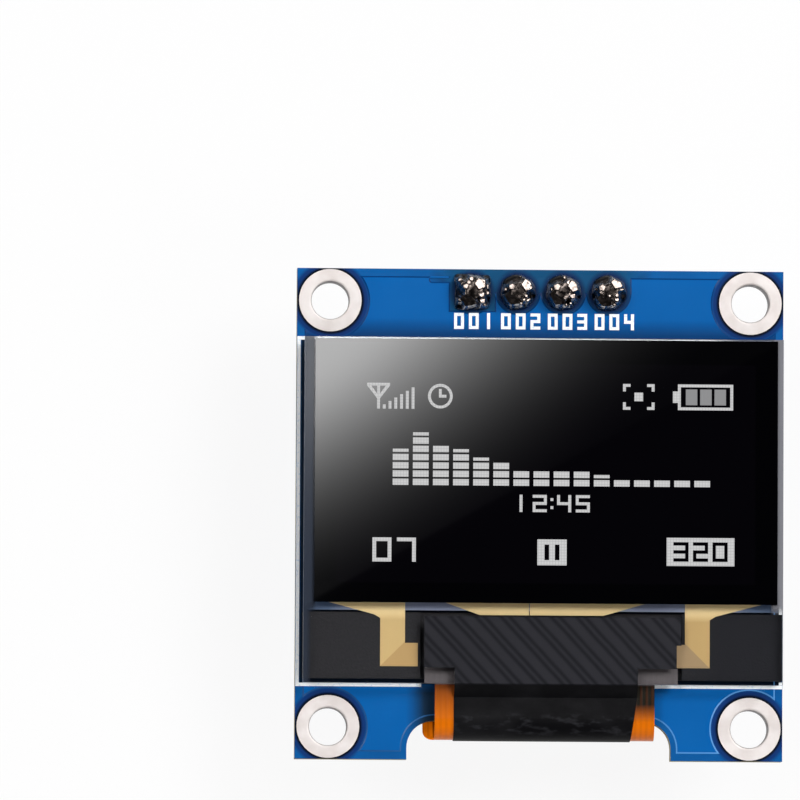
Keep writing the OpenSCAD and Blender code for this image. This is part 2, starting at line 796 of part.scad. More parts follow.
// Outlines round the header strip, the regulator and the address jumper
module rear_legend() {
    half = pin_count * pin_pitch / 2 + rear_line;
    below_header = row_y - housing_w / 2 - 2 * rear_line;
    box_x = chip_l / 2 + fillet_l + 2 * rear_line;
    box_y = chip_w / 2 + 3 * rear_line;
    low = resistors[5];
    high = jumpers[1];
    color("#f2f4f2") difference() {
        translate([0, 0, -copper_t - ink_t]) linear_extrude(copper_t + ink_t) {
            strip(-half, below_header, half, below_header + rear_line);
            translate([0, field_y]) {
                frame_lines(low[0] - box_x, low[1] - box_y, high[0] + box_x, high[1] + box_y,
                            rear_line);
                strip((low[0] + high[0] - rear_line) / 2, low[1] - box_y,
                      (low[0] + high[0] + rear_line) / 2, high[1] + box_y);
                translate(regulator_at + [-regulator_l * 0.7, -regulator_w * 1.6])
                    square([regulator_l * 1.4, rear_line]);
            }
        }
        rear_copper();
    }
}

// ---- Back components ----

// Puts a child at a component's place on the back face, turned, with its top towards -Z
module on_back(place) {
    translate([place[0], field_y + place[1], -plate_t]) rotate([180, 0, len(place) > 2 ? place[2] : 0])
        children();
}

// Ceramic body between a chip's tinned ends
module chip_body(h) {
    translate([-chip_l / 2 + chip_end, -chip_w / 2 + 0.01, 0.01])
        cube([chip_l - 2 * chip_end, chip_w - 0.02, h - 0.02]);
}

// Tinned ends of a chip, each with its solder running out on the pad
module chip_end_pair(h) {
    for (s = [-1, 1]) scale([s, 1, 1])
        rotate([90, 0, 0]) translate([0, 0, -chip_w / 2]) linear_extrude(chip_w)
            polygon([[chip_l / 2 - chip_end, 0], [chip_l / 2 + fillet_l, 0],
                     [chip_l / 2 + fillet_l * 0.35, h * 0.28], [chip_l / 2 + 0.03, h * 0.75],
                     [chip_l / 2, h], [chip_l / 2 - chip_end, h]]);
}

module capacitor(i) {
    color("#b08d63") on_back(capacitors[i - 1]) chip_body(capacitor_h);
}

module resistor(i) {
    color("#1d1d20") on_back(resistors[i - 1]) chip_body(resistor_h);
}

module chip_ends() {
    color("#c4c6c8") {
        for (c = capacitors) on_back(c) chip_end_pair(capacitor_h);
        for (r = resistors) on_back(r) chip_end_pair(resistor_h);
    }
}

// Two pads of a chip
module chip_pads() {
    for (s = [-1, 1]) translate([s * (chip_l / 2 + 0.02), 0]) square([0.75, chip_w + 0.1], center = true);
}

// Where the regulator's three leads leave it: two on one side, one on the other
regulator_leads_at = [[-0.95, -1], [0.95, -1], [0, 1]];

module component_pads() {
    reach = regulator_w / 2 + lead_out - 0.1;
    color("#d6cfc2") translate([0, field_y, -plate_t]) linear_extrude(plate_t) {
        for (c = concat(capacitors, resistors, jumpers))
            translate([c[0], c[1]]) rotate(c[2]) chip_pads();
        for (p = regulator_leads_at) translate(regulator_at + [p[0], p[1] * reach])
            square([lead_w + 0.3, 0.7], center = true);
        for (s = [-1, 1]) translate(diode_at + [s * (diode_l / 2 + lead_out - 0.2), 0])
            square([0.8, 1], center = true);
    }
}

// A moulded body with sloping sides, l by w by h, lying on its back
module moulded_body(l, w, h) {
    lift = 0.08;
    slope = 0.09;
    mid = h * 0.5;
    intersection() {
        along_x(l) polygon([[-w / 2 + slope, lift], [w / 2 - slope, lift], [w / 2, mid],
                            [w / 2 - slope, h], [-w / 2 + slope, h], [-w / 2, mid]]);
        rotate([0, 0, 90]) along_x(w) polygon([[-l / 2 + slope, lift], [l / 2 - slope, lift],
            [l / 2, mid], [l / 2 - slope, h], [-l / 2 + slope, h], [-l / 2, mid]]);
    }
}

// A gull-wing lead that starts at a body's mid height and steps down to its pad, along +Y
module gull_lead(w, mid) {
    knee = lead_out * 0.36;
    heel = lead_out * 0.27;
    along_x(w) polygon([[0, mid], [0, mid + lead_t], [knee, mid + lead_t],
                        [knee + lead_t * 0.6, lead_t], [lead_out, lead_t], [lead_out, 0],
                        [heel, 0], [heel * 0.4, mid]]);
}

module regulator_body() {
    color("#1a1b1d") on_back(regulator_at) moulded_body(regulator_l, regulator_w, regulator_h);
}

module regulator_leads() {
    color("#c9cbcd") on_back(regulator_at)
        for (p = regulator_leads_at) translate([p[0], -p[1] * regulator_w / 2, 0])
            scale([1, -p[1], 1]) gull_lead(lead_w, regulator_h / 2);
}

module diode_body() {
    color("#1a1b1d") on_back(diode_at) moulded_body(diode_l, diode_w, regulator_h);
}

module diode_leads() {
    color("#c9cbcd") on_back(diode_at) for (s = [-1, 1])
        translate([s * diode_l / 2, 0, 0]) rotate([0, 0, -90]) scale([1, s, 1])
            gull_lead(diode_lead_w, regulator_h / 2);
}

circuit_board();
front_copper();
rear_copper();
hole_platings();
header_platings();
header_housing();
header_pin(1);  // header_pin_1
header_pin(2);  // header_pin_2
header_pin(3);  // header_pin_3
header_pin(4);  // header_pin_4
solder_joint(1);  // solder_joint_1
solder_joint(2);  // solder_joint_2
solder_joint(3);  // solder_joint_3
solder_joint(4);  // solder_joint_4
panel_foam();
ledge_foam();
cap_glass();
cap_seal();
front_glass();
polariser();
lit_picture();
glass_traces();
driver_chip();
flex_film();
shading_tape();
flex_pads();
flex_solder();
front_legend();
rear_legend();
component_pads();
chip_ends();
capacitor(1);  // capacitor_1
capacitor(2);  // capacitor_2
capacitor(3);  // capacitor_3
capacitor(4);  // capacitor_4
capacitor(5);  // capacitor_5
capacitor(6);  // capacitor_6
capacitor(7);  // capacitor_7
resistor(1);  // resistor_1
resistor(2);  // resistor_2
resistor(3);  // resistor_3
resistor(4);  // resistor_4
resistor(5);  // resistor_5
resistor(6);  // resistor_6
resistor(7);  // resistor_7
regulator_body();
regulator_leads();
diode_body();
diode_leads();
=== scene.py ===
"""Small graphic display module on a blue circuit board: the finishes, the soldered joints and the
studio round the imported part."""
import math

import bmesh
import bpy
import numpy as np
from mathutils import Matrix, Vector
from mathutils.geometry import tessellate_polygon


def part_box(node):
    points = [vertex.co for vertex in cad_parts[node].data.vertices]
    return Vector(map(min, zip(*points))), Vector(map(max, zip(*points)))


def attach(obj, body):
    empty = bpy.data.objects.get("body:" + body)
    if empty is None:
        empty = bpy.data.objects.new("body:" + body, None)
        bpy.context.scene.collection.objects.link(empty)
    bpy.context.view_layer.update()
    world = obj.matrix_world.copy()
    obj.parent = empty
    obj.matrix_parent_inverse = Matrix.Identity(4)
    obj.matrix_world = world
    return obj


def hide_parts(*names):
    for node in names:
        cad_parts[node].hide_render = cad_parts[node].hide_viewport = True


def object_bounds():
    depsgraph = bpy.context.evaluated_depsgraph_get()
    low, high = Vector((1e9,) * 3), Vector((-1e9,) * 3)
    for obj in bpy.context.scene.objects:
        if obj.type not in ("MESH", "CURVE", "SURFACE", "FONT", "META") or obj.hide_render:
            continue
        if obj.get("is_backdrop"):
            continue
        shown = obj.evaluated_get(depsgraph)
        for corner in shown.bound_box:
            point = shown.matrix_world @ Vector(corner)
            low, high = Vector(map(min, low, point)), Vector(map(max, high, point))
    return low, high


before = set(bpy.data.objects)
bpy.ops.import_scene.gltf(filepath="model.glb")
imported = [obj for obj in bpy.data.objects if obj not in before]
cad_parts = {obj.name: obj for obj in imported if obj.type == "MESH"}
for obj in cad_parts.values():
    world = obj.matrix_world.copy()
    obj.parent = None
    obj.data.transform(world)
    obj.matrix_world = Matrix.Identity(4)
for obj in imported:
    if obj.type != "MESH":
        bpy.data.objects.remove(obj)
cad_low, cad_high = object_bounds()
MM = 0.001


# ---------------------------------------------------------------------------------------------
# Circuit board. Woven glass laminate 1.2 mm thick under a blue solder mask, sawn to size, so the
# edges show the bare laminate in its layers. The mask has painted shade round the holes, with a
# painted shadow line close round each ring, and is darker round the pins. Painted shade also
# darkens it where the panel and the folded tail keep the light off it.

board_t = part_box("circuit_board")[1].z
ring_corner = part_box("hole_platings")[1]
ring_r = 1.75 * MM
header_low, header_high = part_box("header_housing")
pin_pitch = 2.54 * MM
glass_low, glass_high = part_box("front_glass")


def tone(red, green, blue):
    """A screen colour, 0 to 255 a channel, as the linear colour that a shader takes."""
    part = np.array([red, green, blue]) / 255
    linear = np.where(part <= 0.04045, part / 12.92, ((part + 0.055) / 1.055) ** 2.4)
    return (*linear.tolist(), 1.0)


def new_finish(name, colour, rough=0.5, metal=0.0, gloss=0.5):
    """A material with one Principled shader. Returns it, its tree, its shader and the coordinates
    of the piece that wears it."""
    made = bpy.data.materials.new(name)
    made.use_nodes = True
    tree = made.node_tree
    shader = tree.nodes["Principled BSDF"]
    shader.inputs["Base Color"].default_value = colour
    shader.inputs["Roughness"].default_value = rough
    shader.inputs["Metallic"].default_value = metal
    shader.inputs["Specular IOR Level"].default_value = gloss
    return made, tree, shader, tree.nodes.new("ShaderNodeTexCoord").outputs["Object"]


def add(tree, kind, feeds, out=0, **settings):
    """One shader node: settings are its own values, feeds are numbers or sockets for its inputs.
    Returns one of its outputs."""
    made = tree.nodes.new("ShaderNode" + kind)
    for key, value in settings.items():
        setattr(made, key, value)
    for place, value in feeds.items():
        if isinstance(value, bpy.types.NodeSocket):
            tree.links.new(value, made.inputs[place])
        else:
            made.inputs[place].default_value = value
    return made.outputs[out]


def maths(tree, operation, first, second=0.0, third=0.0):
    """One arithmetic node."""
    return add(tree, "Math", {0: first, 1: second, 2: third}, operation=operation)


def product(tree, first, *others):
    """All the values multiplied together."""
    for other in others:
        first = maths(tree, "MULTIPLY", first, other)
    return first


def distance(tree, off_x, off_y):
    """The length of the way that goes off_x across and off_y up: the root of their squares' sum."""
    squares = maths(tree, "ADD", product(tree, off_x, off_x), product(tree, off_y, off_y))
    return maths(tree, "SQRT", squares)


def coordinate(tree, where, axis):
    """The x, y or z of a place or a direction."""
    return add(tree, "SeparateXYZ", {0: where}, out="xyz".index(axis))


def spread(tree, value, low, high, to_low=0.0, to_high=1.0):
    """The value between low and high, carried in a straight line to to_low and to_high and held
    there."""
    return add(tree, "MapRange", {0: value, 1: low, 2: high, 3: to_low, 4: to_high}, clamp=True)


def within(tree, value, low, high, soft):
    """1 where the value lies between low and high, falling to 0 over soft metres outside."""
    return product(tree, spread(tree, value, low - soft, low), spread(tree, value, high + soft, high))


def flatness(tree):
    """How level the surface lies: 1 where it faces straight up or down, 0 where it stands."""
    return maths(tree, "ABSOLUTE", coordinate(tree, add(tree, "NewGeometry", {}, out=1), "z"))


def grain(tree, where, size, detail=3.0, stretch=(1, 1, 1)):
    """Cloudy noise from 0 to 1 with features about size metres across, drawn out along the axes by
    stretch."""
    sized = add(tree, "Mapping", {"Vector": where, "Scale": tuple(1 / (size * s) for s in stretch)})
    return add(tree, "TexNoise", {"Vector": sized, "Scale": 1.0, "Detail": detail})


def mixed(tree, share, first, second):
    """The first colour going to the second as share goes from 0 to 1."""
    return add(tree, "Mix", {0: share, 6: first, 7: second}, out=2, data_type="RGBA")


def relief(tree, shader, height, depth):
    """Turns a height from 0 to 1 into fine relief, depth metres deep."""
    bump = add(tree, "Bump", {"Height": height, "Distance": depth, "Strength": 1.0})
    tree.links.new(bump, shader.inputs["Normal"])


def dress(material, *names):
    """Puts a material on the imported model's own nodes."""
    for name in names:
        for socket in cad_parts[name].material_slots:
            socket.material = material


def on_front(tree, where):
    """0 in the board's lower third and behind it, 1 in its upper third and in front of it."""
    return spread(tree, coordinate(tree, where, "z"), board_t / 3, board_t * 2 / 3)


def under_glass(tree, where):
    """1 on the board's front in the panel's shadow, seen through the glass and beside it."""
    across = within(tree, coordinate(tree, where, "x"), glass_low.x - 0.1 * MM, glass_high.x, 0.12 * MM)
    upward = within(tree, coordinate(tree, where, "y"), glass_low.y + 0.05 * MM, glass_high.y, 0.1 * MM)
    return product(tree, across, upward, on_front(tree, where))


def painted_neck_shadow(tree, where):
    """1 on the board's front where a painted shadow of the tail's fold darkens it, on its left."""
    across = coordinate(tree, where, "x")
    return product(tree, spread(tree, across, -7.4 * MM, -6.4 * MM), spread(tree, across, 0, -4 * MM),
                   spread(tree, coordinate(tree, where, "y"), -9.2 * MM, -10 * MM), on_front(tree, where))


def shaded(tree, where, blue):
    """The mask's blue with painted shade: nearly black in the panel's shadow and dull in the painted
    shadow of the tail's fold.
    """
    blue = mixed(tree, under_glass(tree, where), blue, tone(10, 26, 44))
    return mixed(tree, product(tree, painted_neck_shadow(tree, where), 0.85), blue, tone(22, 30, 22))


mask, tree, shader, where = new_finish("board_mask", tone(18, 90, 156), gloss=0.2)
across, upward = (coordinate(tree, where, axis) for axis in "xy")
cloud = spread(tree, grain(tree, where, 3 * MM), 0.3, 0.7)
blue = mixed(tree, cloud, tone(8, 82, 146), tone(12, 92, 160))
off_x, off_y = (maths(tree, "SUBTRACT", maths(tree, "ABSOLUTE", line), corner - ring_r)
                for line, corner in ((across, ring_corner.x), (upward, ring_corner.y)))
from_ring = distance(tree, off_x, off_y)
# painted shade round each hole ring, and a painted shadow line close round the ring
painted_shade_round_ring = spread(tree, from_ring, ring_r + 0.52 * MM, ring_r + 0.3 * MM)
blue = mixed(tree, painted_shade_round_ring, blue, tone(14, 50, 108))
shadow_line_round_ring = spread(tree, from_ring, ring_r + 0.2 * MM, ring_r + 0.08 * MM)
blue = mixed(tree, shadow_line_round_ring, blue, tone(5, 14, 30))
by_header = product(tree, spread(tree, maths(tree, "ABSOLUTE", across),
                                 header_high.x + 1.2 * MM, header_high.x - 0.4 * MM),
                    spread(tree, upward, glass_high.y - 0.25 * MM, glass_high.y + 0.75 * MM))
blue = mixed(tree, by_header, blue, tone(18, 78, 120))
place_in_pitch = maths(tree, "FRACT", maths(tree, "DIVIDE", across, pin_pitch))
from_pin = distance(tree, product(tree, maths(tree, "SUBTRACT", place_in_pitch, 0.5), pin_pitch),
                    maths(tree, "SUBTRACT", upward, (header_low.y + header_high.y) / 2))
round_pin = product(tree, spread(tree, from_pin, 1.35 * MM, 1.05 * MM), by_header)
blue = mixed(tree, round_pin, blue, tone(17, 42, 84))
layers = spread(tree, grain(tree, where, 0.4 * MM, stretch=(4, 4, 0.28)), 0.35, 0.65)
laminate = mixed(tree, layers, tone(128, 122, 88), tone(176, 168, 130))
on_edge = spread(tree, flatness(tree), 0.6, 0.4)
tree.links.new(mixed(tree, on_edge, shaded(tree, where, blue), laminate), shader.inputs["Base Color"])
tree.links.new(spread(tree, on_edge, 0, 1, 0.22, 0.75), shader.inputs["Roughness"])
relief(tree, shader, grain(tree, where, 0.22 * MM, detail=2.0), 0.004 * MM)
dress(mask, "circuit_board")

# ---------------------------------------------------------------------------------------------
# Copper pours, front and back. Etched foil under the same mask, so it stands a little proud and
# looks a brighter blue. The mask slopes down over the foil's edge, and the front pour is made
# again here with that slope, which carries a painted highlight and painted shade: pale at the lower
# right and dark at the upper left. Just above the panel painted shade darkens the pour.

slope_w = 0.08 * MM
foil_low, foil_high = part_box("front_copper")

pour, tree, shader, where = new_finish("copper_mask", tone(20, 101, 181), rough=0.2, gloss=0.2)
across, upward = (coordinate(tree, where, axis) for axis in "xy")
cloud = spread(tree, grain(tree, where, 6 * MM), 0.3, 0.7)
blue = mixed(tree, cloud, tone(4, 89, 160), tone(8, 96, 171))
# painted shade: the pour darkens just above the panel
shade_above_panel = product(tree, spread(tree, upward, glass_high.y + 1.2 * MM, glass_high.y + 0.1 * MM),
                      spread(tree, upward, 0, MM), on_front(tree, where))
blue = mixed(tree, shade_above_panel, blue, tone(10, 54, 104))
sloped = spread(tree, flatness(tree), 0.995, 0.96)
# painted highlight and shade on the slope: pale at the lower right, dark at the upper left
rim_highlight_share = product(tree, spread(tree, across, -10 * MM, 6 * MM, 0.15, 1.0),
                      spread(tree, upward, 4 * MM, -8 * MM))
slope = mixed(tree, rim_highlight_share, tone(2, 56, 112), tone(84, 146, 208))
tree.links.new(mixed(tree, sloped, shaded(tree, where, blue), slope), shader.inputs["Base Color"])
relief(tree, shader, grain(tree, where, 0.3 * MM, detail=2.0), 0.004 * MM)
dress(pour, "rear_copper")


def new_piece(name, points, faces, material, cad_node, smooth=False):
    """A mesh that rides on the board and is shown in place of a CAD node."""
    mesh = bpy.data.meshes.new(name)
    mesh.from_pydata(points, [], faces)
    mesh.polygons.foreach_set("use_smooth", np.full(len(mesh.polygons), smooth))
    mesh.materials.append(material)
    piece = bpy.data.objects.new(name, mesh)
    bpy.context.collection.objects.link(piece)
    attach(piece, "root")
    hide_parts(cad_node)


def top_outlines(node):
    """The closed outlines of a flat node's top as (n, 2) arrays, the metal always on the left. They
    follow the edges that a level face shares with an upright one."""
    sheet = bmesh.new()
    sheet.from_mesh(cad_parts[node].data)
    bmesh.ops.remove_doubles(sheet, verts=sheet.verts, dist=1e-7)
    follows = {}
    for face in sheet.faces:
        for loop in face.loops:
            if face.normal.z > 0.9 and any(f.normal.z < 0.9 for f in loop.edge.link_faces):
                follows[loop.vert] = loop.link_loop_next.vert
    outlines = []
    while follows:
        vert, after = follows.popitem()
        outline = [vert.co[:2]]
        while after in follows:
            outline.append(after.co[:2])
            after = follows.pop(after)
        outlines.append(np.array(outline))
    sheet.free()
    return outlines


def drawn_in(outline, width):
    """The outline moved to its left by width: each corner goes along the mean of its two sides'
    left normals, and at most three widths."""
    side = np.roll(outline, -1, axis=0) - outline
    side = side / np.linalg.norm(side, axis=1, keepdims=True)
    left = np.stack([-side[:, 1], side[:, 0]], axis=1)
    before = np.roll(left, 1, axis=0)
    share = np.maximum(1 + (left * before).sum(axis=1, keepdims=True), 1 / 3)
    return outline + width * (left + before) / share


points, faces, crests = [], [], []
for outline in top_outlines("front_copper"):
    count = len(outline)
    here = len(points) + np.arange(count)
    after = np.roll(here, -1)
    foot = np.column_stack([outline, np.full(count, foil_low.z)])
    crest = np.column_stack([drawn_in(outline, slope_w), np.full(count, foil_high.z)])
    points += foot.tolist() + crest.tolist()
    faces += np.stack([here, after, after + count, here + count], axis=-1).tolist()
    crests.append(here + count)
top = tessellate_polygon([[Vector(points[k]) for k in crest] for crest in crests])
faces += np.concatenate(crests)[np.array(top)].tolist()
new_piece("front_mask", points, faces, pour, "front_copper")

# ---------------------------------------------------------------------------------------------
# Hole rings and pads. Copper barrels and lands with a dull tin finish and fine scratches on the
# lands; the walls of the holes are darkened by painted shade.

plating, tree, shader, where = new_finish("ring_plating", tone(231, 224, 221), metal=0.15)
scratch = grain(tree, where, 0.25 * MM)
cloud = spread(tree, grain(tree, where, 1.1 * MM), 0.35, 0.65)
land = mixed(tree, cloud, tone(215, 206, 202), tone(229, 222, 219))
# painted shade on the upright walls of the holes
painted_wall_shade = spread(tree, flatness(tree), 0.75, 0.1)
tree.links.new(mixed(tree, painted_wall_shade, land, tone(58, 48, 45)), shader.inputs["Base Color"])
tree.links.new(spread(tree, scratch, 0.3, 0.7, 0.34, 0.52), shader.inputs["Roughness"])
relief(tree, shader, scratch, 0.006 * MM)
dress(plating, "hole_platings", "header_platings", "component_pads", "flex_pads")

# ---------------------------------------------------------------------------------------------
# Four-pin header. Gold-plated square brass pins, drawn lengthwise, pressed through a black
# moulded strip that sits behind the board; the short ends come up through the pads.

pin_gold, tree, shader, where = new_finish("gold_pin", tone(214, 178, 104), metal=1.0)
drawn = grain(tree, where, 0.2 * MM, stretch=(1, 1, 12))
tree.links.new(spread(tree, drawn, 0.3, 0.7, 0.2, 0.4), shader.inputs["Roughness"])
relief(tree, shader, drawn, 0.004 * MM)
dress(pin_gold, *(f"header_pin_{n}" for n in range(1, 5)))


def speckle(tree, shader, where, size, dark, light):
    """Colours the surface from dark to light by cloudy noise with features about size metres
    across. Returns the noise."""
    cloud = grain(tree, where, size)
    tree.links.new(mixed(tree, cloud, dark, light), shader.inputs["Base Color"])
    return cloud


strip, tree, shader, where = new_finish("header_plastic", tone(26, 26, 28), rough=0.48)
fibre = speckle(tree, shader, where, 0.18 * MM, tone(20, 20, 22), tone(36, 36, 38))
relief(tree, shader, fibre, 0.008 * MM)
dress(strip, "header_housing")

# ---------------------------------------------------------------------------------------------
# Solder joints. Tin drawn up round each pin by hand: a low crumpled cone with blunt frozen peaks,
# bright where a peak mirrors a lamp. Its colour holds painted shade on the slopes between and a
# painted paler grey down the steep sides.

solder, tree, shader, where = new_finish("solder", tone(104, 95, 90), metal=1.0)
level = flatness(tree)
# painted shade on the middle slopes, then a painted paler grey on the steep sides
tin = mixed(tree, spread(tree, level, 0.92, 0.78), tone(104, 95, 90), tone(36, 34, 35))
tin = mixed(tree, spread(tree, level, 0.40, 0.25), tin, tone(146, 138, 132))
tree.links.new(tin, shader.inputs["Base Color"])
skin = grain(tree, where, 0.26 * MM, detail=1.0)
tree.links.new(spread(tree, skin, 0.3, 0.7, 0.10, 0.34), shader.inputs["Roughness"])
relief(tree, shader, skin, 0.02 * MM)
dress(solder, "flex_solder")


def solder_cone(foot, reach, square, spires):
    """Points and faces of a closed lump on a polar grid round its foot. The rim is a rounded square
    of half width reach, the squarer the higher square is, with two slight waves, their phases in
    radians. The height is that of the tallest of a low dome and the spires, with a ripple, and
    falls off steeply at the rim. A spire is a plane, cut by five steep ones at size from its
    middle; it is given as its middle (x, y), height, size, and lean: the heading in degrees in
    which it slopes down, and the slope. Lengths are in millimetres."""
    turns, rings = 160, 44
    dome, spire_side, rim_side = 0.62, 5, 6
    angle, out = np.meshgrid(np.linspace(0, 2 * np.pi, turns, endpoint=False),
                             np.linspace(1, 0.02, rings), indexing="ij")
    rim = (np.abs(np.cos(angle)) ** square + np.abs(np.sin(angle)) ** square) ** (-1 / square)
    rim = rim * (1 + 0.03 * np.sin(3 * angle + 1.5) + 0.02 * np.sin(7 * angle + 154))
    x, y = reach * rim * out * np.cos(angle), reach * rim * out * np.sin(angle)
    z = dome * np.sqrt(1 - out ** 2.4)
    for (px, py), tall, size, (heading, slope) in spires:
        down = np.radians(heading)
        spire = tall - slope * ((x - px) * np.cos(down) + (y - py) * np.sin(down))
        for side in down + np.radians([36, 108, 180, 252, 324]):
            from_middle = (x - px) * np.cos(side) + (y - py) * np.sin(side)
            spire = np.minimum(spire, tall + spire_side * (size - from_middle))
        z = np.maximum(z, spire)
    ripple = 0.01 * np.sin(9 * x + 2) * np.sin(8 * y + 1)
    z = np.minimum(z + ripple, rim_side * reach * (1 - out))
    points = (np.stack([x, y, z], axis=-1) * MM + foot).reshape(-1, 3)
    poles = np.array([[0, 0, z[:, -1].mean() * MM], [0, 0, 0]]) + foot
    grid = np.arange(turns * rings).reshape(turns, rings)
    after = np.roll(grid, -1, axis=0)
    quads = np.stack([grid[:, :-1], after[:, :-1], after[:, 1:], grid[:, 1:]], axis=-1).reshape(-1, 4)
    top = np.full(turns, turns * rings)
    caps = [np.stack([grid[:, -1], after[:, -1], top], axis=-1),
            np.stack([after[:, 0], grid[:, 0], top + 1], axis=-1)]
    return np.vstack([points, poles]).tolist(), quads.tolist() + np.vstack(caps).tolist()


# The first joint fills its square pad, the others are round. Most spires lean so that they mirror
# the key lamp or the kicker to the camera.
to_key, to_kicker = (37, 0.25), (154, 0.29)
joint_looks = [
    (1.00, 10, [
        ((0.0, 0.0), 1.50, 0.45, (210, 0.12)), ((-0.72, 0.60), 1.00, 0.12, to_kicker),
        ((-0.58, 0.36), 1.30, 0.13, to_kicker), ((-0.44, 0.20), 1.52, 0.14, to_kicker),
        ((-0.28, 0.42), 1.54, 0.11, to_key), ((-0.12, 0.64), 1.30, 0.12, to_key),
        ((0.36, 0.34), 1.58, 0.28, to_key), ((0.76, 0.22), 0.95, 0.16, to_key),
        ((0.46, -0.28), 1.52, 0.14, to_key), ((0.50, -0.56), 1.20, 0.15, to_key),
        ((0.66, -0.74), 0.85, 0.12, to_key), ((0.80, -0.12), 0.80, 0.10, to_key),
        ((-0.74, -0.52), 0.95, 0.11, to_kicker), ((-0.58, -0.34), 1.10, 0.08, to_kicker),
        ((-0.22, -0.45), 1.15, 0.38, (250, 0.30))]),
    (0.99, 2.2, [
        ((0.0, 0.0), 1.50, 0.42, (215, 0.15)), ((-0.40, 0.19), 1.54, 0.15, to_kicker),
        ((-0.72, 0.10), 0.90, 0.09, to_kicker), ((0.15, 0.84), 0.62, 0.09, (60, 0.25)),
        ((0.46, 0.30), 1.58, 0.30, to_key), ((0.36, 0.62), 1.30, 0.15, (40, 0.27)),
        ((0.72, 0.36), 0.90, 0.14, (34, 0.25)), ((0.40, -0.32), 1.50, 0.08, to_key),
        ((0.28, -0.50), 1.30, 0.08, to_key), ((0.14, -0.70), 1.05, 0.08, to_key),
        ((0.56, -0.52), 1.10, 0.13, to_key), ((-0.30, -0.35), 1.20, 0.38, (240, 0.35))]),
    (0.99, 2.2, [
        ((0.0, 0.0), 1.50, 0.42, (200, 0.14)), ((-0.42, 0.20), 1.54, 0.17, to_kicker),
        ((-0.64, 0.12), 1.10, 0.12, to_kicker), ((0.04, 0.80), 0.75, 0.09, (150, 0.28)),
        ((0.52, 0.26), 1.58, 0.30, (40, 0.25)), ((0.50, 0.62), 1.05, 0.17, (34, 0.25)),
        ((0.26, 0.44), 1.54, 0.15, to_key), ((0.44, -0.30), 1.52, 0.14, to_key),
        ((0.70, -0.50), 0.80, 0.12, to_key), ((0.12, -0.74), 0.90, 0.07, to_key),
        ((0.36, -0.66), 0.95, 0.07, to_key), ((-0.30, -0.30), 1.25, 0.42, (230, 0.35))]),
    (0.99, 2.2, [
        ((0.0, 0.0), 1.50, 0.42, (220, 0.15)), ((-0.44, 0.17), 1.54, 0.17, to_kicker),
        ((-0.70, 0.14), 0.95, 0.10, to_kicker), ((-0.50, -0.10), 1.45, 0.09, to_kicker),
        ((0.38, 0.46), 1.58, 0.30, (34, 0.26)), ((0.66, 0.22), 1.20, 0.17, (40, 0.24)),
        ((0.22, 0.78), 0.80, 0.14, to_key), ((0.38, -0.24), 1.54, 0.10, to_key),
        ((0.38, -0.46), 1.35, 0.12, to_key), ((0.28, -0.70), 1.00, 0.10, to_key),
        ((-0.04, -0.28), 1.53, 0.06, to_key), ((-0.25, -0.45), 1.15, 0.38, (250, 0.35))]),
]
for number, look in enumerate(joint_looks, 1):
    low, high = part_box(f"solder_joint_{number}")
    foot = np.array([(low.x + high.x) / 2, (low.y + high.y) / 2, low.z])
    points, faces = solder_cone(foot, *look)
    new_piece(f"solder_cone_{number}", points, faces, solder, f"solder_joint_{number}",
              smooth=True)

# ---------------------------------------------------------------------------------------------
# White legend. Epoxy ink screened on the mask, thin in places so that the blue shows through: the
# line round the panel, which is worn at its top right end, and the pads' numbers. The ink glows a
# little, painted light that keeps it white in the panel's shadow.

ink, tree, shader, where = new_finish("white_ink", tone(240, 244, 246), rough=0.55)
across, upward = (coordinate(tree, where, axis) for axis in "xy")
thin = spread(tree, grain(tree, where, 0.16 * MM), 0.3, 0.45)
white = mixed(tree, thin, tone(206, 220, 232), tone(242, 245, 247))
line_above = within(tree, upward, glass_high.y - 0.35 * MM, glass_high.y + 0.65 * MM, 0.1 * MM)
worn = product(tree, line_above, spread(tree, across, 9.5 * MM, 11.2 * MM), 0.85)
white = mixed(tree, worn, white, tone(24, 40, 78))
tree.links.new(white, shader.inputs["Base Color"])
# painted light: a faint glow keeps the ink white in the panel's shadow
tree.links.new(white, shader.inputs["Emission Color"])
shader.inputs["Emission Strength"].default_value = 0.12
relief(tree, shader, grain(tree, where, 0.12 * MM), 0.006 * MM)
dress(ink, "front_legend", "rear_legend")

# ---------------------------------------------------------------------------------------------
# Foam under the panel. Black double-sided foam, closed cell, with a matt torn skin; it holds the
# panel on the board and fills the step behind the ledge, where it is darker at the right.

foam, tree, shader, where = new_finish("black_foam", tone(36, 36, 39), rough=0.85, gloss=0.25)
cells = grain(tree, where, 0.12 * MM, detail=4.0)
black = mixed(tree, cells, tone(33, 32, 35), tone(46, 45, 48))
to_right = spread(tree, coordinate(tree, where, "x"), 6 * MM, 10 * MM)
tree.links.new(mixed(tree, to_right, black, tone(27, 27, 32)), shader.inputs["Base Color"])
relief(tree, shader, cells, 0.02 * MM)
dress(foam, "panel_foam", "ledge_foam")

# ---------------------------------------------------------------------------------------------
# Panel glass. Two plates of thin float glass, scribed and snapped, so the long faces are clear
# and the edges are grey and hackled. A bead of sealant runs along the lid's lower edge. The lid's
# colour is painted light and shade, dark at the left and paler at the right, and the front plate
# carries a painted grey of the same kind along its sides.

screen_low, screen_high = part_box("polariser")
pane_middle, pane_half = (glass_low.x + glass_high.x) / 2, (glass_high.x - glass_low.x) / 2


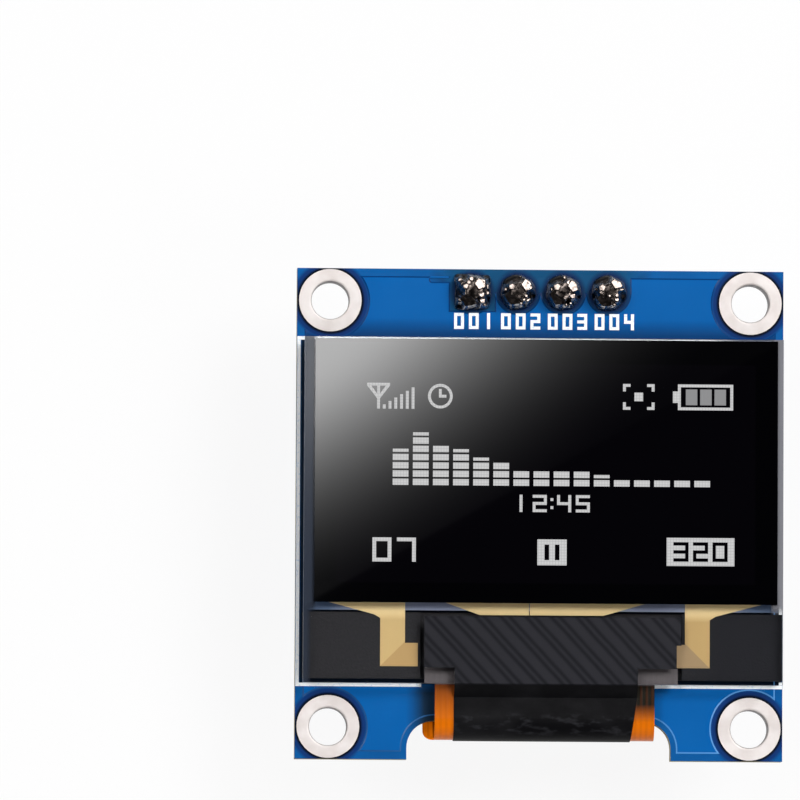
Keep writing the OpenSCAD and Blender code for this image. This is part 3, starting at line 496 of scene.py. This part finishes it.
def clear_glass(name, tint, edge_colour):
    """Clear glass: light goes straight through with a tint, less what the surface mirrors. Its sides
    above the ledge, where the film ends, and its left rim on the ledge carry a painted grey that
    stands in for light and shade, dark at the left and pale at the right. Its edges are dull."""
    made = bpy.data.materials.new(name)
    made.use_nodes = True
    tree = made.node_tree
    tree.nodes.clear()
    where = add(tree, "TexCoord", {}, out=3)
    across, upward = (coordinate(tree, where, axis) for axis in "xy")
    through = add(tree, "BsdfTransparent", {0: tint})

    from_middle = maths(tree, "ABSOLUTE", maths(tree, "SUBTRACT", across, pane_middle))
    sides = spread(tree, from_middle, pane_half - 0.7 * MM, pane_half - 0.5 * MM, 0, 0.85)
    left_rim = spread(tree, across, glass_low.x + 0.45 * MM, glass_low.x + 0.15 * MM, 0, 0.6)
    on_ledge = spread(tree, upward, screen_low.y + 0.05 * MM, screen_low.y - 0.55 * MM)
    border = add(tree, "Mix", {0: on_ledge, 2: sides, 3: left_rim})
    # painted light and shade: the margins' grey goes from dark at the left to pale at the right
    to_right = spread(tree, across, -12 * MM, 12 * MM)
    margin_light_and_shade = add(tree, "BsdfDiffuse", {0: mixed(tree, to_right, tone(50, 56, 68), tone(126, 126, 132))})
    body = add(tree, "MixShader", {0: border, 1: through, 2: margin_light_and_shade})

    entering = maths(tree, "SUBTRACT", 1.0, add(tree, "NewGeometry", {}, out=6))
    shine = product(tree, add(tree, "Fresnel", {"IOR": 1.4}), entering,
                    spread(tree, border, 0, 0.85, 1.0, 0.35))
    mirror = add(tree, "BsdfGlossy", {"Color": (1, 1, 1, 1), "Roughness": 0.02})
    face = add(tree, "MixShader", {0: shine, 1: body, 2: mirror})

    hackle = grain(tree, where, 0.4 * MM, stretch=(1, 1, 0.5))
    snapped = add(tree, "BsdfPrincipled", {
        "Base Color": mixed(tree, hackle, edge_colour, tone(176, 182, 184)), "Roughness": 0.3})
    edge = add(tree, "MixShader", {0: 0.65, 1: through, 2: snapped})
    on_edge = spread(tree, flatness(tree), 0.6, 0.4)
    whole = add(tree, "MixShader", {0: on_edge, 1: face, 2: edge})
    tree.links.new(whole, tree.nodes.new("ShaderNodeOutputMaterial").inputs["Surface"])
    return made


front_clear = clear_glass("front_glass", (0.985, 0.99, 0.988, 1), tone(96, 102, 106))
underside = glass_low.z + 0.006 * MM        # clears the metal, the lid and the tail that lie against it
corners = [(x, y, z) for z in (underside, glass_high.z) for y in (glass_low.y, glass_high.y)
           for x in (glass_low.x, glass_high.x)]
sides = [(0, 2, 3, 1), (4, 5, 7, 6), (0, 1, 5, 4), (1, 3, 7, 5), (3, 2, 6, 7), (2, 0, 4, 6)]
new_piece("front_plate", corners, sides, front_clear, "front_glass")

lid, tree, shader, where = new_finish("cap_glass", tone(50, 62, 84), rough=0.3, gloss=0.2)
# painted light and shade: the lid goes from dark at the left to pale at the right
to_right = spread(tree, coordinate(tree, where, "x"), -10 * MM, 12 * MM)
tree.links.new(mixed(tree, to_right, tone(44, 58, 80), tone(118, 118, 126)), shader.inputs["Base Color"])
dress(lid, "cap_glass")

seal, tree, shader, where = new_finish("sealant", tone(84, 90, 112), rough=0.35)
swell = spread(tree, grain(tree, where, 2 * MM, stretch=(2, 1, 1)), 0.3, 0.7)
bead = mixed(tree, swell, tone(132, 138, 164), tone(152, 161, 188))
at_ends = spread(tree, maths(tree, "ABSOLUTE", coordinate(tree, where, "x")), 10.5 * MM, 11.8 * MM)
tree.links.new(mixed(tree, at_ends, bead, tone(84, 104, 136)), shader.inputs["Base Color"])
dress(seal, "cap_seal")

# ---------------------------------------------------------------------------------------------
# Polariser. A glossy film bonded on the front glass, black because it stops the panel's own
# glare, and a shade blacker in the margin round the picture's field.

margins_low, margins_high = (1.25 * MM, 1.15 * MM), (1.3 * MM, 1.4 * MM)
margin_black, field_black = (0.0006, 0.0006, 0.0010, 1), (0.0012, 0.0010, 0.0018, 1)

film, tree, shader, where = new_finish("polariser", field_black, rough=0.012)
in_field = product(tree, *(
    within(tree, coordinate(tree, where, axis), low + first, high - last, 0.1 * MM)
    for axis, low, high, first, last in zip("xy", screen_low, screen_high, margins_low, margins_high)))
tree.links.new(mixed(tree, in_field, margin_black, field_black), shader.inputs["Base Color"])
dress(film, "polariser")

# ---------------------------------------------------------------------------------------------
# Lit picture. The panel's own dots shining white through the film, each dot with a dimmer gap
# round it. The battery's cells, in the upper right corner, are lit less.

dot, gap_share = 0.16 * MM, 0.16
picture_right, picture_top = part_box("lit_picture")[1][:2]

lit, tree, shader, where = new_finish("lit_dots", (0.02, 0.02, 0.02, 1), rough=0.6)
across, upward = (coordinate(tree, where, axis) for axis in "xy")
inside = []
for line in (across, upward):
    place = maths(tree, "FRACT", maths(tree, "DIVIDE", line, dot))
    off_middle = maths(tree, "ABSOLUTE", maths(tree, "SUBTRACT", place, 0.5))
    inside.append(spread(tree, off_middle, 0.5, 0.5 - gap_share))
glow = mixed(tree, product(tree, *inside), tone(206, 206, 208), tone(240, 240, 240))
in_cells = product(
    tree, within(tree, across, picture_right - 2.81 * MM, picture_right - 0.28 * MM, 0.01 * MM),
    within(tree, upward, picture_top - 1.26 * MM, picture_top - 0.18 * MM, 0.01 * MM))
glow = mixed(tree, in_cells, glow, tone(154, 154, 156))
tree.links.new(glow, shader.inputs["Emission Color"])
shader.inputs["Emission Strength"].default_value = 0.62
dress(lit, "lit_picture")

# ---------------------------------------------------------------------------------------------
# Ledge metal and driver. Gold-coloured electrode metal laid on the back of the front glass, each
# foot with a duller facet where a second layer ends on a slant; the driver is bare silicon
# pressed on the same face. Near the seal the metal is lightened with painted light where the
# film's shadow falls.

metal_middle = sum(corner.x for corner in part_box("glass_traces")) / 2

metal, tree, shader, where = new_finish("trace_metal", tone(205, 173, 120), rough=0.4)
across, upward = (coordinate(tree, where, axis) for axis in "xy")
from_middle = maths(tree, "ABSOLUTE", maths(tree, "SUBTRACT", across, metal_middle))
slant = maths(tree, "ADD", from_middle, upward)
facet = product(tree, spread(tree, slant, 0.64 * MM, 0.6 * MM),
                spread(tree, upward, -6.9 * MM, -7.1 * MM))
to_right = spread(tree, across, 4 * MM, 8 * MM)
gold = mixed(tree, grain(tree, where, 0.8 * MM), tone(202, 170, 112), tone(208, 176, 118))
gold = mixed(tree, product(tree, to_right, 0.6), gold, tone(178, 142, 82))
gold = mixed(tree, facet, gold, mixed(tree, to_right, tone(186, 150, 94), tone(158, 130, 92)))
# painted light: the metal near the seal is lightened where the film's shadow falls
lit_near_seal = spread(tree, upward, -6.0 * MM, -5.2 * MM)
gold = mixed(tree, lit_near_seal, gold, tone(255, 226, 168))
tree.links.new(gold, shader.inputs["Base Color"])
dress(metal, "glass_traces")

silicon, tree, shader, where = new_finish("silicon", tone(58, 60, 68), rough=0.25, metal=0.5)
speckle(tree, shader, where, 0.3 * MM, tone(48, 50, 58), tone(70, 72, 82))
dress(silicon, "driver_chip")

# ---------------------------------------------------------------------------------------------
# Flex tail. Amber polyimide film with copper tracks inside it, folded round the board's notch.
# The end bonded under the glass is dulled by its glue. On the front, painted shade darkens the film
# toward the glass and fades toward the fold, a painted shadow of the tape darkens its right side,
# and the fold's left corner glows with painted light, standing in for light let through the film.

track_pitch = 0.31 * MM


def on_pane(tree, upward):
    """1 above the front glass's lower edge, 0 below it."""
    return spread(tree, upward, glass_low.y - 0.09 * MM, glass_low.y + 0.01 * MM)


amber, tree, shader, where = new_finish("amber_film", tone(194, 92, 8), rough=0.3, gloss=0.2)
across, upward = (coordinate(tree, where, axis) for axis in "xy")
in_front = spread(tree, coordinate(tree, where, "z"), 0.2 * MM, 0.9 * MM)
tracks = maths(tree, "SINE", product(tree, across, 2 * math.pi / track_pitch))
tracks = spread(tree, tracks, -0.2, 0.6)
# painted shade: the film's front is dark toward the glass and brightens toward the fold
shade_fading_to_fold = spread(tree, upward, -9.8 * MM, -11.9 * MM)
front = mixed(tree, shade_fading_to_fold, tone(128, 61, 5), tone(224, 112, 0))
# painted shadow of the tape on the film's right side
tape_shadow = product(tree, spread(tree, across, 3 * MM, 4 * MM),
                     spread(tree, upward, -11.6 * MM, -10.6 * MM))
front = mixed(tree, tape_shadow, front, tone(22, 18, 8))
front = mixed(tree, product(tree, tracks, 0.12), front, tone(130, 56, 6))
back = mixed(tree, tracks, tone(206, 104, 10), tone(150, 70, 8))
colour = mixed(tree, in_front, back, front)
colour = mixed(tree, product(tree, on_pane(tree, upward), in_front), colour, tone(96, 90, 92))
tree.links.new(colour, shader.inputs["Base Color"])
# painted light: the fold's left corner glows, standing in for light let through the film
glow_at_curl = product(tree, within(tree, across, -7 * MM, -5.9 * MM, 0.1 * MM),
               spread(tree, upward, -11.2 * MM, -11.7 * MM))
tree.links.new(mixed(tree, glow_at_curl, (0, 0, 0, 1), tone(236, 120, 4)), shader.inputs["Emission Color"])
shader.inputs["Emission Strength"].default_value = 0.35
relief(tree, shader, tracks, 0.003 * MM)
dress(amber, "flex_film")

# ---------------------------------------------------------------------------------------------
# Shading tape. Black tape over the driver and round the fold, hatched on the glass where its
# woven carrier shows as pairs of slanting lines, smooth where it is stretched over the bend, with a
# painted sheen there and painted highlights on a few creases across the neck.

hatch_pitch, hatch_lean = 1.405 * MM, 0.93

tape, tree, shader, where = new_finish("black_tape", tone(24, 24, 26), gloss=0.08)
across, upward = (coordinate(tree, where, axis) for axis in "xy")
slant = maths(tree, "MULTIPLY_ADD", upward, hatch_lean, maths(tree, "ADD", across, 10.37 * MM))
slant = maths(tree, "ADD", slant, product(tree, grain(tree, where, 1.8 * MM), 0.1 * MM))
phase = maths(tree, "FRACT", maths(tree, "ADD", maths(tree, "DIVIDE", slant, hatch_pitch), 0.25))
line = 0.0
for middle in (0.25, 0.587):
    off = maths(tree, "ABSOLUTE", maths(tree, "SUBTRACT", phase, middle))
    line = maths(tree, "MAXIMUM", line, spread(tree, off, 0.16, 0.02))
hatched = mixed(tree, line, tone(37, 37, 42), tone(19, 20, 25))
# painted sheen: faint lighter mottling on the smooth tape
sheen = spread(tree, grain(tree, where, 1.4 * MM, stretch=(1.6, 1, 1)), 0.45, 0.7)
smooth = mixed(tree, sheen, tone(6, 6, 8), tone(19, 19, 21))
# painted highlights on a few creases across the neck
crease_highlights = spread(tree, grain(tree, where, 0.35 * MM, stretch=(2.2, 1, 1)), 0.52, 0.74, 0, 0.6)
crease_highlights = product(tree, within(tree, upward, -12.1 * MM, -11.4 * MM, 0.4 * MM), crease_highlights)
smooth = mixed(tree, crease_highlights, smooth, tone(52, 52, 56))
tree.links.new(mixed(tree, on_pane(tree, upward), smooth, hatched), shader.inputs["Base Color"])
relief(tree, shader, grain(tree, where, 0.16 * MM), 0.006 * MM)
dress(tape, "shading_tape")

# ---------------------------------------------------------------------------------------------
# Parts on the back. Ceramic capacitors and film resistors with tinned ends, a moulded regulator
# and a diode with bent tin leads, reflowed on their lands.

tin_plate, tree, shader, where = new_finish("tin", tone(206, 204, 202), rough=0.32, metal=0.9)
relief(tree, shader, grain(tree, where, 0.12 * MM), 0.01 * MM)
dress(tin_plate, "chip_ends", "regulator_leads", "diode_leads")

ceramic, tree, shader, where = new_finish("capacitor_ceramic", tone(168, 134, 96), rough=0.6)
speckle(tree, shader, where, 0.15 * MM, tone(158, 124, 86), tone(178, 146, 108))
relief(tree, shader, grain(tree, where, 0.1 * MM), 0.006 * MM)
dress(ceramic, *(f"capacitor_{n}" for n in range(1, 8)))

coat, tree, shader, where = new_finish("resistor_coat", tone(24, 24, 27), rough=0.35)
speckle(tree, shader, where, 0.2 * MM, tone(19, 19, 22), tone(32, 32, 36))
dress(coat, *(f"resistor_{n}" for n in range(1, 8)))

moulded, tree, shader, where = new_finish("moulding", tone(34, 34, 36), rough=0.6)
spark = speckle(tree, shader, where, 0.08 * MM, tone(28, 28, 30), tone(44, 44, 46))
relief(tree, shader, spark, 0.008 * MM)
dress(moulded, "regulator_body", "diode_body")

# ---------------------------------------------------------------------------------------------
# Studio: a pale floor under the pins, a world that is dark overhead, and three lamps. Camera,
# mirror and glass rays see the floor white, without more light on the object.

floor_z = cad_low.z - 0.1 * MM
floor_half = 3.0


def level_sheet(name, middle, half_x, half_y, material, face_up=True):
    """A level rectangle about its middle, as a part of the studio."""
    corners = [(-1, -1), (1, -1), (1, 1), (-1, 1)]
    if not face_up:
        corners.reverse()
    mesh = bpy.data.meshes.new(name)
    points = [(middle[0] + half_x * x, middle[1] + half_y * y, middle[2]) for x, y in corners]
    mesh.from_pydata(points, [], [(0, 1, 2, 3)])
    mesh.materials.append(material)
    sheet = bpy.data.objects.new(name, mesh)
    bpy.context.collection.objects.link(sheet)
    return sheet


paper, tree, shader, where = new_finish("floor_paper", (0.82, 0.82, 0.82, 1), rough=0.9, gloss=0.1)
ray = tree.nodes.new("ShaderNodeLightPath").outputs
mirrored = maths(tree, "MAXIMUM", ray["Is Glossy Ray"], ray["Is Transmission Ray"])
seen = maths(tree, "MAXIMUM", ray["Is Camera Ray"], mirrored)
white = add(tree, "Emission", {"Color": (1, 1, 1, 1), "Strength": 1.0})
lit_paper = add(tree, "MixShader", {0: product(tree, seen, 0.9), 1: shader.outputs[0], 2: white})
tree.links.new(lit_paper, tree.nodes["Material Output"].inputs["Surface"])
floor = level_sheet("floor", (0, 0, floor_z), floor_half, floor_half, paper)
floor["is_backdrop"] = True

world = bpy.data.worlds.new("studio")
bpy.context.scene.world = world
world.use_nodes = True
tree = world.node_tree
overhead = coordinate(tree, add(tree, "TexCoord", {}, out=0), "z")
shade = mixed(tree, spread(tree, overhead, 0.35, 0.85), (0.44, 0.44, 0.45, 1), (0.015, 0.015, 0.018, 1))
tree.links.new(shade, tree.nodes["Background"].inputs["Color"])

for name, place, size, watts in (("key", (0.32, 0.26, 0.68), 0.30, 4.4),
                                 ("fill", (0.50, -0.30, 0.60), 0.30, 1.2),
                                 ("kicker", (-0.32, 0.18, 0.66), 0.24, 1.9)):
    lamp = bpy.data.lights.new(name, "AREA")
    lamp.shape, lamp.size, lamp.energy = "SQUARE", size, watts
    softbox = bpy.data.objects.new(name, lamp)
    softbox.location = place
    softbox.rotation_euler = Vector(place).to_track_quat("Z", "Y").to_euler()       # aims at the origin
    bpy.context.collection.objects.link(softbox)

# ---------------------------------------------------------------------------------------------
# Camera: a long lens a little below and to the left of straight above the board's front, aimed
# so that the board stands low and right in the view.

tilt_x, tilt_y, roll = math.radians(3.0), math.radians(3.4), math.radians(0.43)
camera_distance = 0.560
target = Vector((0, 0, board_t))
aim_left, aim_up = 7.79 * MM, 6.395 * MM


def across_and_up(back, right):
    """Right, turned square to the camera's back direction, and the up that goes with the two."""
    right = (right - back * right.dot(back)).normalized()
    return right, back.cross(right)


away = Vector((-math.sin(tilt_x), -math.sin(tilt_y), 1)).normalized()
right, upright = across_and_up(away, Vector((math.cos(roll), math.sin(roll), 0)))
place = target + away * camera_distance
back = (place - (target - right * aim_left + upright * aim_up)).normalized()
right, upright = across_and_up(back, right)
camera = bpy.data.objects.new("camera", bpy.data.cameras.new("camera"))
camera.data.sensor_width, camera.data.lens = 36.0, 451.6
camera.data.clip_start, camera.data.clip_end = 0.01, 10.0
turned = Matrix((right, upright, back)).transposed().to_4x4()
camera.matrix_world = Matrix.Translation(place) @ turned
bpy.context.collection.objects.link(camera)
bpy.context.scene.camera = camera

# ---------------------------------------------------------------------------------------------
# Graded panel. It hangs where the film mirrors it to the camera, bright at one corner and falling
# away across the film, with a slanting edge below which it is almost dark. Its shader works in
# millimetres on the film: each point is brought down to where the camera sees it mirrored.

panel_z = 1.2
panel_half_x, panel_half_y, panel_up = 0.043, 0.026, 0.0075
swing = (panel_z - target.z) / (camera_distance * away.z)
middle = Vector((-away.x, -away.y, 0)) * camera_distance * swing + Vector((0, 0, panel_z))
film_scale = 1 / ((1 + swing) * MM)
bright_x, bright_y = -13.5, 10.2            # the bright corner, in millimetres on the film
brightest, cap = 13.9, 11.6                 # the strength at that corner, and what it is held to
edge_rise, edge_y = 0.557, 2.16             # the slanting edge: its rise, and its height at x = 0

graded = bpy.data.materials.new("glare_panel")
graded.use_nodes = True
tree = graded.node_tree
tree.nodes.clear()
on_film = add(tree, "Mapping", {"Vector": add(tree, "TexCoord", {}, out=3),
                                "Location": tuple(-c * film_scale for c in middle),
                                "Scale": (film_scale,) * 3})
film_x, film_y = (coordinate(tree, on_film, axis) for axis in "xy")
right_by = maths(tree, "SUBTRACT", film_x, bright_x)
down_by = maths(tree, "SUBTRACT", bright_y, film_y)
fall = 0.0
for first, second, share in ((right_by, right_by, 0.0117), (down_by, down_by, 0.0216),
                             (right_by, down_by, 0.0225)):
    fall = maths(tree, "ADD", fall, product(tree, first, second, share))
level = product(tree, maths(tree, "EXPONENT", product(tree, fall, -1.0)), brightest)
level = maths(tree, "SMOOTH_MIN", level, cap, 4.0)
level = maths(tree, "MAXIMUM", level, spread(tree, right_by, 0.5, 6, 0.15, 0.02))
above_edge = maths(tree, "SUBTRACT", film_y, maths(tree, "MULTIPLY_ADD", film_x, edge_rise, edge_y))
level = product(tree, level, spread(tree, above_edge, -0.07, 0.07, 0.14, 1.0))
glow = add(tree, "Emission", {"Color": (1, 1, 1, 1), "Strength": level})
tree.links.new(glow, tree.nodes.new("ShaderNodeOutputMaterial").inputs["Surface"])
panel = level_sheet("glare_panel", middle + Vector((0, panel_up, 0)), panel_half_x, panel_half_y, graded,
                    face_up=False)
panel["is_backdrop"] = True

bpy.context.scene.view_settings.view_transform = "Standard"

low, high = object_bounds()
